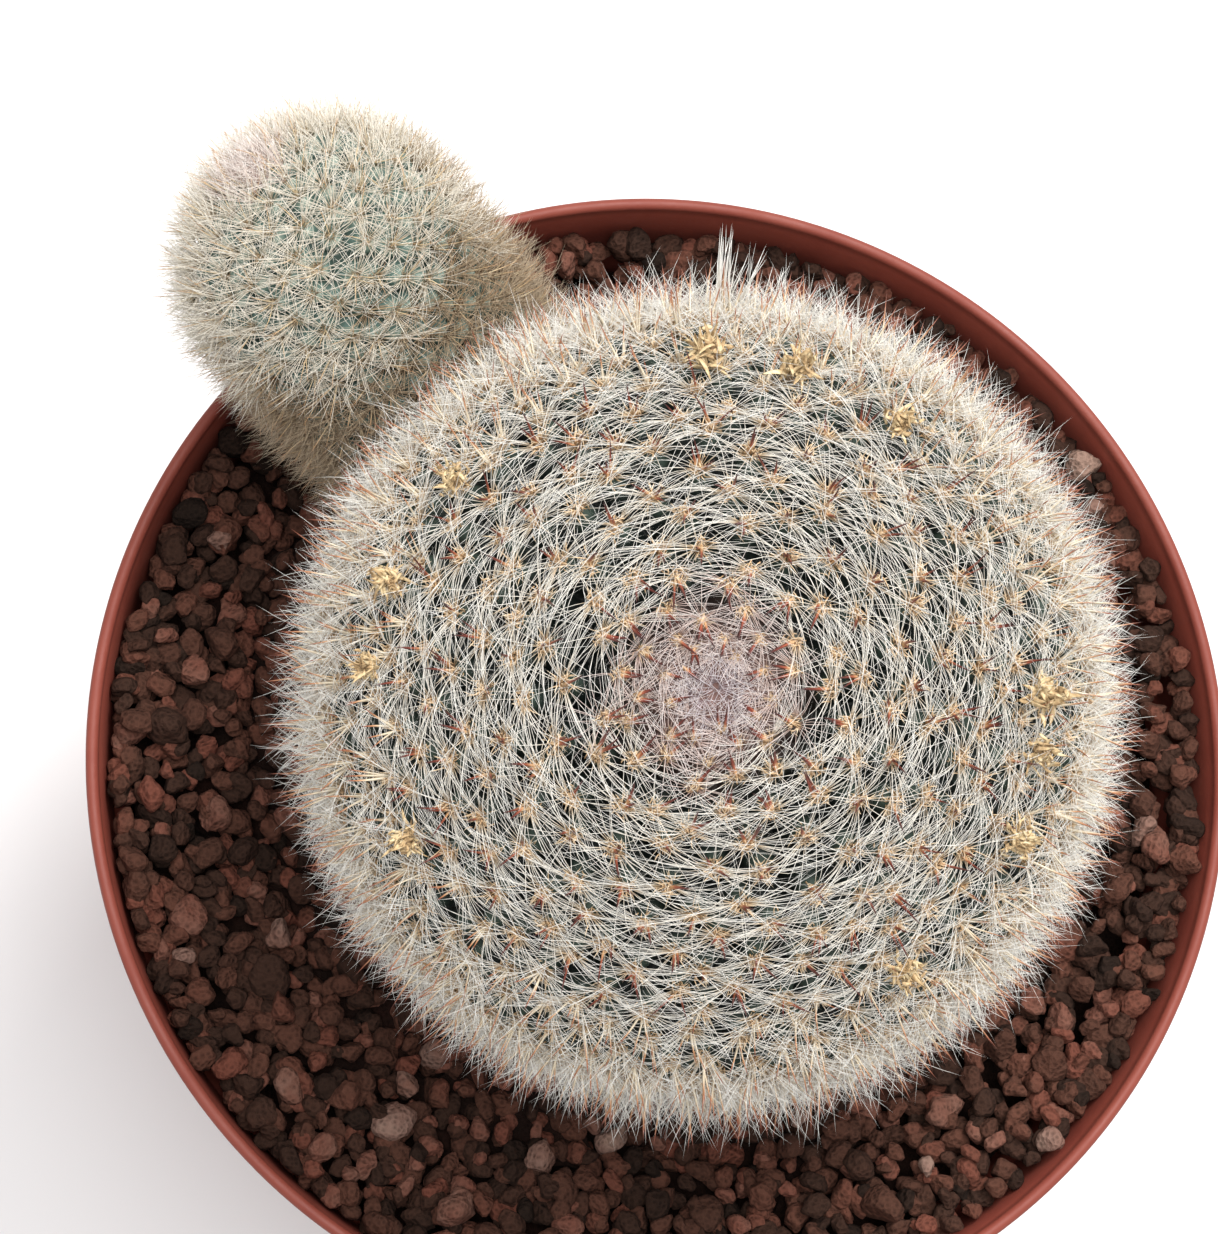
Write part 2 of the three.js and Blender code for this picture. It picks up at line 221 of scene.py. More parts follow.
class Finish:
    """A node material that is built with short calls."""

    def __init__(self, name):
        self.material = bpy.data.materials.new(name)
        self.material.use_nodes = True
        self.nodes = self.material.node_tree.nodes
        self.link = self.material.node_tree.links.new
        self.shader = self.nodes["Principled BSDF"]
        self.place = self.add("ShaderNodeTexCoord").outputs["Object"]

    def add(self, kind, **settings):
        """A new node, with its inputs or its own settings set."""
        node = self.nodes.new(kind)
        for key, value in settings.items():
            if key in node.inputs:
                node.inputs[key].default_value = value
            else:
                setattr(node, key, value)
        return node

    def texture(self, kind, **settings):
        """The outputs of a texture that is fixed to the piece."""
        node = self.add("ShaderNodeTex" + kind, **settings)
        self.link(self.place, node.inputs["Vector"])
        return node.outputs

    def kept(self, name):
        """A value that is kept on the mesh, point by point."""
        return self.add("ShaderNodeAttribute", attribute_name=name).outputs["Fac"]

    def ramp(self, value, *stops):
        """Colours along a value, from stops of (place, red, green, blue)."""
        node = self.add("ShaderNodeValToRGB")
        elements = node.color_ramp.elements
        while len(elements) < len(stops):
            elements.new(0.5)
        for element, (place, *colour) in zip(elements, stops):
            element.position = place
            element.color = (*srgb(*colour), 1)
        self.link(value, node.inputs["Fac"])
        return node.outputs["Color"]

    def between(self, value, low, high, from_low=0.0, from_high=1.0):
        """A value carried from one range to another."""
        node = self.add("ShaderNodeMapRange", **{
            "From Min": from_low, "From Max": from_high, "To Min": low, "To Max": high})
        self.link(value, node.inputs["Value"])
        return node.outputs["Result"]

    def worked_out(self, operation, *terms):
        """A sum or product of values and plain numbers."""
        node = self.add("ShaderNodeMath", operation=operation)
        for socket, term in zip(node.inputs, terms):
            if isinstance(term, float):
                socket.default_value = term
            else:
                self.link(term, socket)
        return node.outputs[0]

    def dimmed(self, colour, by):
        """A colour made darker by a value."""
        node = self.add("ShaderNodeVectorMath", operation="SCALE")
        self.link(colour, node.inputs[0])
        self.link(by, node.inputs["Scale"])
        return node.outputs[0]

    def relief(self, height, strength, distance):
        """Fine bumps on the shader, their distance in metres."""
        node = self.add("ShaderNodeBump", Strength=strength, Distance=distance)
        self.link(height, node.inputs["Height"])
        self.give("Normal", node.outputs["Normal"])

    def give(self, socket, value):
        """Sets one of the shader's own sockets, or links a value to it."""
        if isinstance(value, float):
            self.shader.inputs[socket].default_value = value
        else:
            self.link(value, self.shader.inputs[socket])


print("finish kit ready")


# %% Spine finishes
def spine_finish(name, shade_low, roughness, *stops):
    """Colours run along each spine from its root to its tip, and differ a little
    from one spine to the next."""
    finish = Finish(name)
    layout = finish.add("ShaderNodeUVMap", uv_map="OFBake")
    split = finish.add("ShaderNodeSeparateXYZ")
    finish.link(layout.outputs["UV"], split.inputs[0])
    only_v = finish.add("ShaderNodeCombineXYZ")
    finish.link(split.outputs["Y"], only_v.inputs["Y"])
    by_spine = finish.add("ShaderNodeTexNoise", Scale=34.0, Detail=2.0)
    finish.link(only_v.outputs[0], by_spine.inputs["Vector"])
    tone = finish.between(by_spine.outputs["Fac"], shade_low, 1.0, 0.3, 0.7)
    along = finish.ramp(split.outputs["X"], *stops)
    finish.give("Base Color", finish.dimmed(along, tone))
    fibre = finish.texture("Noise", Scale=2400.0, Detail=2.0)["Fac"]
    finish.give("Roughness", finish.between(fibre, roughness - 0.1, roughness + 0.1))
    finish.relief(fibre, 0.15, 0.00004)
    return finish.material


radial_finish = spine_finish(
    "radial_spines", 0.86, 0.34, (0.0, 228, 190, 146), (0.1, 238, 216, 184),
    (0.24, 246, 240, 228), (0.7, 250, 249, 244), (1.0, 246, 243, 236))
young_finish = spine_finish(
    "young_spines", 0.82, 0.34, (0.0, 200, 164, 152), (0.2, 220, 196, 186),
    (0.5, 238, 224, 218), (1.0, 246, 240, 238))
newest_finish = spine_finish(
    "newest_spines", 0.84, 0.34, (0.0, 178, 160, 164), (0.3, 214, 204, 208),
    (1.0, 242, 239, 242))
pup_radial_finish = spine_finish(
    "pup_radial_spines", 0.86, 0.4, (0.0, 220, 196, 160), (0.2, 236, 226, 208),
    (1.0, 242, 238, 228))
pup_young_finish = spine_finish(
    "pup_young_spines", 0.86, 0.36, (0.0, 216, 178, 168), (0.3, 242, 226, 218),
    (1.0, 250, 245, 240))
# Painted shade: the old spines low on the pup, beside the head, are coloured darker and browner.
pup_old_shaded_finish = spine_finish(
    "pup_old_shaded_spines", 0.72, 0.5, (0.0, 150, 122, 92), (0.3, 176, 154, 126),
    (1.0, 190, 172, 146))
central_finish = spine_finish(
    "central_spines", 0.62, 0.36, (0.0, 240, 214, 176), (0.24, 220, 172, 126),
    (0.38, 166, 92, 66), (0.58, 122, 54, 42), (0.82, 80, 35, 32), (1.0, 38, 20, 22))
flank_central_finish = spine_finish(
    "flank_central_spines", 0.74, 0.4, (0.0, 244, 236, 216), (0.48, 238, 222, 194),
    (0.64, 208, 154, 112), (0.82, 160, 88, 60), (1.0, 92, 44, 36))
pup_central_finish = spine_finish(
    "pup_central_spines", 0.8, 0.42, (0.0, 238, 222, 190), (0.45, 228, 204, 162),
    (0.8, 208, 162, 120), (1.0, 160, 106, 80))
wool_finish = spine_finish(
    "areole_wool", 0.78, 0.85, (0.0, 210, 170, 124), (0.5, 232, 204, 166),
    (1.0, 246, 232, 208))
print("finishes so far:", len(bpy.data.materials))


# %% Waxy skin
def skin_finish(name, deep, mid, high, blush):
    """Waxy grey-green skin, pinkish at the crown, with painted shade: darkest between the
    tubercles and lighter on their tops.
    """
    finish = Finish(name)
    blotch = finish.texture("Noise", Scale=420.0, Detail=5.0, Roughness=0.6)["Fac"]
    sway = finish.worked_out("MULTIPLY_ADD", blotch, 0.5, -0.25)
    depth = finish.worked_out("ADD", finish.kept("tubercle"), sway)
    tinted = finish.add("ShaderNodeMix", data_type="RGBA")
    tinted.inputs["B"].default_value = (*srgb(*blush), 1)
    finish.link(finish.kept("crown"), tinted.inputs["Factor"])
    # Painted shade: the colours run from the darkest in the hollows between tubercles to the
    # lightest on their tops.
    colours = finish.ramp(depth, (0.05, *deep), (0.55, *mid), (0.95, *high))
    finish.link(colours, tinted.inputs["A"])
    finish.give("Base Color", tinted.outputs["Result"])
    grain = finish.texture("Noise", Scale=2600.0, Detail=4.0)["Fac"]
    finish.relief(grain, 0.25, 0.0004)
    finish.give("Roughness", 0.55)
    finish.give("Specular IOR Level", 0.2)
    return finish.material


head_skin = skin_finish("head_skin", (4, 7, 6), (14, 22, 19), (60, 74, 65), (118, 90, 84))
pup_skin = skin_finish("pup_skin", (40, 56, 50), (92, 116, 108), (146, 162, 150),
                       (196, 152, 148))
print("finishes so far:", len(bpy.data.materials))


# %% Porous lava
def lava_finish(name, brightness, tint_name=None):
    """Porous lava: brick red to dark brown from grain to grain, with pits darkened by painted
    shade.
    """
    finish = Finish(name)
    tint = finish.texture("Noise", Scale=190.0, Detail=6.0, Roughness=0.65)["Fac"]
    if tint_name:
        patched = finish.worked_out("MULTIPLY_ADD", tint, 0.34, finish.kept(tint_name))
        tint = finish.worked_out("SUBTRACT", patched, 0.17)
    colours = finish.ramp(
        tint, (0.0, 32, 23, 18), (0.3, 58, 39, 31), (0.55, 86, 55, 44), (0.74, 106, 62, 50),
        (0.86, 112, 78, 66), (0.95, 126, 98, 87), (1.0, 140, 114, 101))
    pits = finish.texture("Voronoi", Scale=1700.0)["Distance"]
    grain = finish.texture("Noise", Scale=1500.0, Detail=6.0, Roughness=0.7)["Fac"]
    finish.relief(finish.worked_out("ADD", pits, grain), 0.7, 0.0006)
    # Painted shade: the lava is darker in its pits, and the whole finish is scaled by brightness,
    # which the bed below takes low.
    pit_and_bed_shade = finish.between(pits, 0.6 * brightness, brightness, 0.1, 0.5)
    finish.give("Base Color", finish.dimmed(colours, pit_and_bed_shade))
    finish.give("Roughness", 0.88)
    finish.give("Specular IOR Level", 0.12)
    return finish.material


grain_finish = lava_finish("lava_grains", 1.0, "grain_tint")
# The bed under the grains has the grains' finish at 0.14 of their brightness: painted shade in the
# gaps between them.
shaded_bed_finish = lava_finish("lava_bed", 0.14)
print("finishes so far:", len(bpy.data.materials))


# %% Pot, growing mix and withered petals
def pot_plastic():
    """Moulded terracotta-coloured plastic: satin and faintly mottled, with painted
    shade that darkens the top of the lip and the inner wall just above the grit."""
    finish = Finish("terracotta_plastic")
    mottle = finish.texture("Noise", Scale=150.0, Detail=6.0, Roughness=0.6)["Fac"]
    colours = finish.ramp(mottle, (0.32, 155, 76, 63), (0.5, 159, 80, 66), (0.68, 164, 85, 71))
    split = finish.add("ShaderNodeSeparateXYZ")
    finish.link(finish.place, split.inputs[0])
    height = split.outputs["Z"]
    # Painted shade: the lip's top, which faces the lamps, is darkened, and the inner wall darkens
    # down towards the grit.
    lip_top_shade = finish.between(height, 1.0, 0.56, *LIP_SHADE_BAND)
    wall_shade_by_height = finish.between(height, 0.5, 0.0, *WALL_SHADE_BAND)
    stain_and_shade = finish.worked_out("MULTIPLY", finish.kept("inner_wall"), wall_shade_by_height)
    painted_shade_factor = finish.worked_out("SUBTRACT", lip_top_shade, stain_and_shade)
    finish.give("Base Color", finish.dimmed(colours, painted_shade_factor))
    scuff = finish.texture("Noise", Scale=210.0, Detail=7.0, Roughness=0.7)["Fac"]
    finish.give("Roughness", finish.between(scuff, 0.46, 0.64, 0.35, 0.7))
    orange_peel = finish.texture("Noise", Scale=1300.0, Detail=2.0)["Fac"]
    finish.relief(orange_peel, 0.12, 0.0003)
    finish.give("Specular IOR Level", 0.25)
    return finish.material


def potting_soil():
    """Dark fibrous growing mix with pale flecks of pumice."""
    finish = Finish("potting_mix")
    crumbs = finish.texture("Voronoi", Scale=620.0)
    finish.give("Base Color", finish.ramp(
        crumbs["Color"], (0.0, 38, 27, 20), (0.55, 66, 48, 36), (0.86, 92, 70, 52),
        (1.0, 170, 158, 140)))
    finish.relief(crumbs["Distance"], 0.8, 0.001)
    finish.give("Roughness", 0.95)
    return finish.material


def petal_finish():
    """Withered petals: straw yellow to brown, thin and papery."""
    finish = Finish("withered_petals")
    stain_and_shade = finish.texture("Noise", Scale=900.0, Detail=5.0, Roughness=0.6)["Fac"]
    finish.give("Base Color", finish.ramp(
        stain_and_shade, (0.32, 130, 104, 72), (0.46, 178, 150, 110), (0.6, 208, 188, 148),
        (0.8, 228, 216, 186)))
    veins = finish.texture("Noise", Scale=3000.0, Detail=3.0)["Fac"]
    finish.relief(veins, 0.4, 0.0003)
    finish.give("Roughness", 0.8)
    return finish.material


LIP_SHADE_BAND = ((POT_HEIGHT - 1.8) * MM, (POT_HEIGHT - 0.6) * MM)    # heights between which the painted shade fades
WALL_SHADE_BAND = ((POT_HEIGHT - 7.5) * MM, (POT_HEIGHT - 1.5) * MM)   # wear and damp fade
plastic, soil, petals_dry = pot_plastic(), potting_soil(), petal_finish()
print("finishes in all:", len(bpy.data.materials))

# %% [markdown]
# ## The pot
# A nursery pot is blown or pressed from thin coloured plastic. Its lip is rounded,
# a stiff collar runs below the lip, and the wall slopes in to a flat base with
# drainage holes. The outline is turned round the pot's axis.

# %% Outlines, turned shapes and holed discs
def rounded(corners, radius, steps=4):
    """Rounds each inner corner of an open outline with a small arc."""
    out = [corners[0]]
    for i in range(1, len(corners) - 1):
        p = np.array(corners[i], float)
        a = np.array(corners[i - 1], float) - p
        b = np.array(corners[i + 1], float) - p
        reach = min(radius, np.linalg.norm(a) / 2.2, np.linalg.norm(b) / 2.2)
        start, end = p + unit(a) * reach, p + unit(b) * reach
        for k in range(steps + 1):
            t = k / steps
            out.append(tuple((1 - t) ** 2 * start + 2 * t * (1 - t) * p + t * t * end))
    out.append(corners[-1])
    return out


def turned(outline, turns):
    """Points and triangles of an outline of (radius, height) turned round Z."""
    outline = np.array(outline, float)
    a = np.arange(turns) * 2 * math.pi / turns
    points = np.stack([
        outline[:, None, 0] * np.cos(a)[None], outline[:, None, 0] * np.sin(a)[None],
        np.repeat(outline[:, 1:2], turns, axis=1)], axis=-1).reshape(-1, 3)
    return points, net_faces(len(outline), turns)


def circle(r, count, centre):
    """Corners of a level circle."""
    return [Vector((centre[0] + r * math.cos(a), centre[1] + r * math.sin(a)))
            for a in np.arange(count) * 2 * math.pi / count]


def holed_disc(rim, centres, hole_r, height):
    """A level disc with round holes, as points and triangles that face up."""
    rings = [circle(rim, POT_TURNS, (0, 0))] + [circle(hole_r, HOLE_TURNS, c) for c in centres]
    corners, edges = [], []
    for ring in rings:
        first = len(corners)
        corners += ring
        edges += [(first + i, first + (i + 1) % len(ring)) for i in range(len(ring))]
    found, _, triangles, *_ = delaunay_2d_cdt(corners, edges, [], 0, 1e-6)
    points = np.array([(p.x, p.y, height) for p in found])
    triangles = np.array(triangles)
    middle = points[triangles].mean(axis=1)[:, :2]
    solid = np.all([np.hypot(*(middle - c).T) > hole_r * 0.97 for c in centres], axis=0)
    return points, triangles[solid]


print("outline helpers ready")

# %% Turn the pot
shoulder = POT_HEIGHT - COLLAR_HEIGHT
collar_r = POT_RIM_R - 1.4
wall_r = collar_r - COLLAR_STEP
lip_r = POT_WALL / 2
lip = [(POT_RIM_R - lip_r + lip_r * math.cos(a), POT_HEIGHT - lip_r + lip_r * math.sin(a))
       for a in np.linspace(0, math.pi, 11)]
outside = rounded([
    (PLATE_R, 0), (POT_BASE_R - 1.0, 0), (POT_BASE_R, 1.4), (wall_r, shoulder - 0.5),
    (collar_r, shoulder), lip[0]], 0.55)
inside = rounded([
    lip[-1], (collar_r - POT_WALL, shoulder + 0.4), (wall_r - POT_WALL, shoulder - 1.2),
    (POT_BASE_R - POT_WALL, 2.6), (POT_BASE_R - POT_WALL - 1.2, POT_WALL),
    (PLATE_R, POT_WALL)], 0.55)
hole_turns = HOLE_FIRST + np.arange(HOLE_COUNT) * 2 * math.pi / HOLE_COUNT
hole_centres = HOLE_OUT * np.column_stack([np.cos(hole_turns), np.sin(hole_turns)])
under_points, under_faces = holed_disc(PLATE_R, hole_centres, HOLE_R, 0.0)
over_points, over_faces = holed_disc(PLATE_R, hole_centres, HOLE_R, POT_WALL)
pot_parts = [turned(outside + lip[1:-1] + inside, POT_TURNS), (under_points, under_faces[:, ::-1]),
             (over_points, over_faces)]
for centre in hole_centres:
    wall_points, wall_faces = turned([(HOLE_R, 0), (HOLE_R, POT_WALL)], HOLE_TURNS)
    pot_parts.append((wall_points + [*centre, 0], wall_faces[:, ::-1]))
pot_points, pot_faces, _ = joined([(p, f, np.zeros((len(f) * 3, 2))) for p, f in pot_parts])
pot_piece = mesh_piece("nursery_pot", pot_points, pot_faces, plastic)
inner_wall = np.zeros(len(pot_points))
inner_wall[(len(outside) + len(lip) - 2) * POT_TURNS:len(pot_parts[0][0])] = 1
keep_on_mesh(pot_piece, "inner_wall", inner_wall)
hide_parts("pot")
print("pot triangles:", len(pot_faces))

# %% [markdown]
# ## Grit
# Lava grit is crushed rock: angular, pitted grains of two to five millimetres. A
# few shapes are knapped from a ball by flat cuts, then scattered with their own
# turn, stretch and tint, and packed over the bed in overlapping layers.

# %% Knap a few grain shapes
def ball(detail):
    """Points and triangles of a ball with even triangles."""
    shape = bmesh.new()
    bmesh.ops.create_icosphere(shape, subdivisions=detail, radius=1.0)
    points = np.array([v.co[:] for v in shape.verts])
    faces = np.array([[v.index for v in f.verts] for f in shape.faces])
    shape.free()
    return points, faces


def knapped(points, draw, cuts, roughness):
    """Cuts flats on a ball and roughens it."""
    rock = points.copy()
    for _ in range(cuts):
        way = unit(draw.normal(size=3))
        depth = draw.uniform(0.52, 0.86)
        over = np.maximum(rock @ way - depth, 0)
        rock -= over[:, None] * way[None]
    for scale in (1.7, 3.6):
        shift = draw.uniform(0, 9, size=3)
        wave = (np.sin(rock[:, 0] * scale + shift[0]) * np.sin(rock[:, 1] * scale * 1.2 + shift[1])
                * np.sin(rock[:, 2] * scale * 0.9 + shift[2]))
        rock *= (1 + roughness * wave)[:, None]
    rock += draw.normal(scale=roughness * 0.18, size=rock.shape)
    return rock


ball_points, ball_faces = ball(3)
grain_shapes = [knapped(ball_points, rng, 9, 0.1) for _ in range(18)]
print("grain shapes:", len(grain_shapes), "triangles each:", len(ball_faces))


# %% Scatter the grains
def ball_layout(points, faces):
    """Unwraps a ball by longitude and latitude inside a unit square."""
    u = np.arctan2(points[:, 1], points[:, 0]) / (2 * math.pi) + 0.5
    v = np.arccos(np.clip(unit(points)[:, 2], -1, 1)) / math.pi
    corners = np.stack([u[faces], v[faces]], axis=-1)
    wide = corners[..., 0].max(axis=1) - corners[..., 0].min(axis=1) > 0.5
    corners[..., 0] = np.where(wide[:, None] & (corners[..., 0] < 0.5),
                               1.0 - 1e-3, corners[..., 0])
    return corners


def random_turns(count, draw):
    """Evenly random rotation matrices."""
    q = unit(draw.normal(size=(count, 4)))
    w, x, y, z = q.T
    return np.stack([
        np.stack([1 - 2 * (y * y + z * z), 2 * (x * y - z * w), 2 * (x * z + y * w)], -1),
        np.stack([2 * (x * y + z * w), 1 - 2 * (x * x + z * z), 2 * (y * z - x * w)], -1),
        np.stack([2 * (x * z - y * w), 2 * (y * z + x * w), 1 - 2 * (x * x + y * y)], -1)], 1)


def rocks_piece(name, centres, sizes, tints, draw):
    """One piece of many rocks, each a turned and stretched copy of a grain shape."""
    layout = ball_layout(grain_shapes[0], ball_faces)
    turns = random_turns(len(centres), draw)
    side = int(math.ceil(math.sqrt(len(centres))))
    parts, tint_of_point = [], []
    for i, (centre, size) in enumerate(zip(centres, sizes)):
        shape = grain_shapes[draw.integers(len(grain_shapes))]
        stretch = np.array([1, draw.uniform(0.68, 0.95), draw.uniform(0.6, 0.85)])
        points = (shape * stretch * size / 2) @ turns[i].T + centre
        tile = np.array([i % side, i // side])
        parts.append((points, ball_faces, (tile + 0.04 + 0.92 * layout) / side))
        tint_of_point.append(np.full(len(points), tints[i]))
    points, triangles, wrap = joined(parts)
    piece = mesh_piece(name, points, triangles, grain_finish, wrap)
    keep_on_mesh(piece, "grain_tint", np.concatenate(tint_of_point))
    print(name, "triangles:", len(piece.data.polygons))
    return piece


def scattered(gap, reach, draw):
    """Places on a shaken honeycomb inside the pot, clear of the head's neck."""
    across = np.arange(-reach - gap, reach + gap, gap)
    down = np.arange(-reach - gap, reach + gap, gap * 0.866)
    x, y = np.meshgrid(across, down)
    x = x + np.where(np.arange(len(down)) % 2, gap / 2, 0)[:, None]
    spots = np.column_stack([x.ravel(), y.ravel()]) + draw.uniform(-0.42, 0.42, (x.size, 2)) * gap
    turn = draw.uniform(0, 1)
    spots = spots @ np.array([[math.cos(turn), -math.sin(turn)], [math.sin(turn), math.cos(turn)]])
    clear = np.hypot(*spots.T) < reach
    clear &= np.hypot(*(spots - HEAD_SEAT[:2]).T) > HEAD_NECK_R - 3
    return draw.permutation(spots[clear])


print("scatter ready")


# %% Pack the bed with grains
def on_pale_side(spots):
    """Whether each place lies at the front left, where pale grains gather."""
    turn = np.arctan2(spots[:, 1], spots[:, 0]) - PALE_SIDE
    return np.cos(turn) > math.cos(PALE_HALF_WIDTH)


def tint_draw(spots, pale_share, pale_side_share, draw):
    """Mostly dark and brick brown grains, some brick red, a share of pale ones."""
    tint = draw.normal(0.42, 0.19, len(spots))
    share = np.where(on_pale_side(spots), pale_side_share, pale_share)
    pale = draw.random(len(spots)) < share
    return np.clip(np.where(pale, draw.uniform(0.84, 0.98, len(spots)), tint), 0.02, 1.05)


def bank_at(spots):
    """How far the grit is raised towards the pot's wall at each place."""
    side = np.maximum(np.cos(np.arctan2(spots[:, 1], spots[:, 0]) - BANK_SIDE), 0)
    far = np.hypot(spots[:, 0], spots[:, 1])
    return (BANK_AT_WALL + BANK_MORE * side) * smoothstep(far, 36, 57)


bed_room, wall_room, wall_flare = 58.4, 57.1, 0.108   # room in the pot, wider with height
GRAINS_IN_PIECE = 600
PALE_SHARE, PALE_SIDE_SHARE = 0.05, 0.09
# Name, gap, least and most size, lift above the bed, and share of the places filled.
layers = [("deep", 2.5, 2.8, 4.2, -0.7, 1.0), ("middle", 2.7, 2.3, 3.8, 0.5, 0.92),
          ("top", 4.0, 2.6, 4.6, 1.5, 0.5)]
for layer, gap, least, most, lift, share in layers:
    spots = scattered(gap, bed_room, rng)
    spots = spots[:int(len(spots) * share)]
    sizes = rng.uniform(least, most, len(spots))
    far = np.hypot(spots[:, 0], spots[:, 1])
    heights = GRIT_Z + lift + bank_at(spots) + rng.uniform(-0.5, 0.5, len(spots))
    room = wall_room + wall_flare * (heights - shoulder) - 0.42 * sizes
    spots *= np.minimum(1, room / far)[:, None]
    centres = np.column_stack([spots, heights])
    tints = tint_draw(spots, PALE_SHARE, PALE_SIDE_SHARE, rng)
    if layer != "top":
        tints = np.minimum(tints, 0.8)
    for start in range(0, len(spots), GRAINS_IN_PIECE):
        part = slice(start, start + GRAINS_IN_PIECE)
        rocks_piece(f"lava_grit_{layer}_{start // GRAINS_IN_PIECE + 1}", centres[part],
                    sizes[part], tints[part], rng)

# %% The larger stones that lie on the bed
stone_names = sorted(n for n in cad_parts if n.startswith("lava_stone_"))
stone_centres, stone_sizes = [], []
for name in stone_names:
    low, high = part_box(name)
    stone_centres.append(np.array((low + high) / 2) / MM)
    stone_sizes.append(max((high - low).x, (high - low).y) / MM)
stone_centres = np.array(stone_centres)
stone_centres[:, 2] += bank_at(stone_centres) + STONE_LIFT
stone_tints = tint_draw(stone_centres, 0.1, 0.6, rng)
stones = rocks_piece("lava_stones", stone_centres, stone_sizes, stone_tints, rng)
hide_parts(*stone_names)

# %% Finish the bed and the growing mix under it
for name, finish in (("lava_gravel_bed", shaded_bed_finish), ("potting_mix", soil)):
    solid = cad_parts[name]
    solid.data.materials.clear()
    solid.data.materials.append(finish)
print("stones:", len(stone_names))

# %% [markdown]
# ## Where the areoles sit
# A cactus grows its spine clusters, the areoles, in spirals: each new one is a
# golden angle round from the last. The same rule places them here, closer together
# at the young crown. Each sits on top of a tubercle.

# %% Outlines of the two stems
def head_radius(s):
    """Radius of the big head at a height along its axis."""
    s = np.asarray(s, float)
    k = np.clip((s - HEAD_WIDEST_AT) / (HEAD_HEIGHT - HEAD_WIDEST_AT), 0, 1)
    dome = HEAD_R * np.sqrt(np.maximum(0, 1 - k ** 2.15))
    swell = np.sin(np.pi / 2 * np.clip(s, 0, HEAD_WIDEST_AT) / HEAD_WIDEST_AT)
    return np.where(s >= HEAD_WIDEST_AT, dome, HEAD_NECK_R + (HEAD_R - HEAD_NECK_R) * swell)


def pup_radius(s):
    """Radius of the pup; s is 0 at the centre of its dome."""
    s = np.asarray(s, float)
    dome = PUP_R * np.sqrt(np.maximum(0, 1 - np.clip(s / PUP_R, 0, 1) ** 2))
    k = np.clip(-s / PUP_LENGTH, 0, 1)
    return np.where(s >= 0, dome, PUP_R + (PUP_FOOT_R - PUP_R) * k * k)


def axes_of(lean):
    """A turn that carries +Z to the lean, as three columns."""
    turn = Vector((0, 0, 1)).rotation_difference(Vector(tuple(unit(lean))))
    return np.array(turn.to_matrix())


def areoles(radius_at, low, top, apex_area, full_area, grown_by, tip, stray_by, seat, lean):
    """Places areoles from the crown down. Returns dict of arrays in millimetres."""
    # A fine table of the outline, from the crown down, by arc length.
    phi = np.linspace(0, 1, 4000)
    s = top - (top - low) * phi ** 2
    r = radius_at(s)
    step = np.hypot(np.diff(s), np.diff(r))
    arc = np.concatenate([[0], np.cumsum(step)])
    area = np.concatenate([[0], np.cumsum(math.pi * (r[1:] + r[:-1]) * step)])
    each = apex_area + (full_area - apex_area) * smoothstep(arc, 0, grown_by)
    number = np.concatenate([[0], np.cumsum(np.diff(area) / ((each[1:] + each[:-1]) / 2))])
    wanted = np.arange(0.5, number[-1])
    a_s = np.interp(wanted, number, s)
    a_r = np.interp(wanted, number, r)
    a_arc = np.interp(wanted, number, arc)
    ds = np.interp(wanted + 0.5, number, s) - np.interp(wanted - 0.5, number, s)
    dr = np.interp(wanted + 0.5, number, r) - np.interp(wanted - 0.5, number, r)
    turn = wanted * math.pi * (3 - math.sqrt(5))
    out = np.column_stack([np.cos(turn), np.sin(turn), np.zeros_like(turn)])
    axis = np.array([0, 0, 1.0])
    down = unit(out * dr[:, None] + axis * ds[:, None])
    up = -down
    around = np.cross(axis, out)
    normal = unit(np.cross(around, up))
    normal *= np.sign(np.sum(normal * (out + axis * 0.5), axis=1))[:, None]
    stray = rng.normal(0, stray_by, (len(turn), 2)) * np.minimum(1, a_arc / 8)[:, None]
    frame3 = axes_of(lean)

    def carry(v):
        return v @ frame3.T

    place = (out * a_r[:, None] + axis * a_s[:, None]
             + around * stray[:, :1] + up * stray[:, 1:])
    return {"place": carry(place + normal * tip) + seat, "up": carry(up), "around": carry(around),
            "normal": carry(normal), "arc": a_arc, "s": a_s, "local": place}


head_areoles = areoles(head_radius, 1.5, HEAD_HEIGHT, 2.2, 14.2, 14.0, HEAD_TIP, 0.42,
                       HEAD_SEAT, HEAD_LEAN)
pup_areoles = areoles(pup_radius, -30.0, PUP_R, 1.6, 6.8, 7.0, PUP_TIP, 0.25, PUP_DOME,
                      PUP_LEAN)
print("areoles on the head:", len(head_areoles["s"]), "on the pup:", len(pup_areoles["s"]))


# %% [markdown]
# ## The stems
# Under the spines the skin rises in low cones, one for each areole. The stem is a
# fine net of points on the outline, pushed in between the cones. The depth of each
# point is kept on the mesh, and the skin's finish reads it to paint shade between the cones.

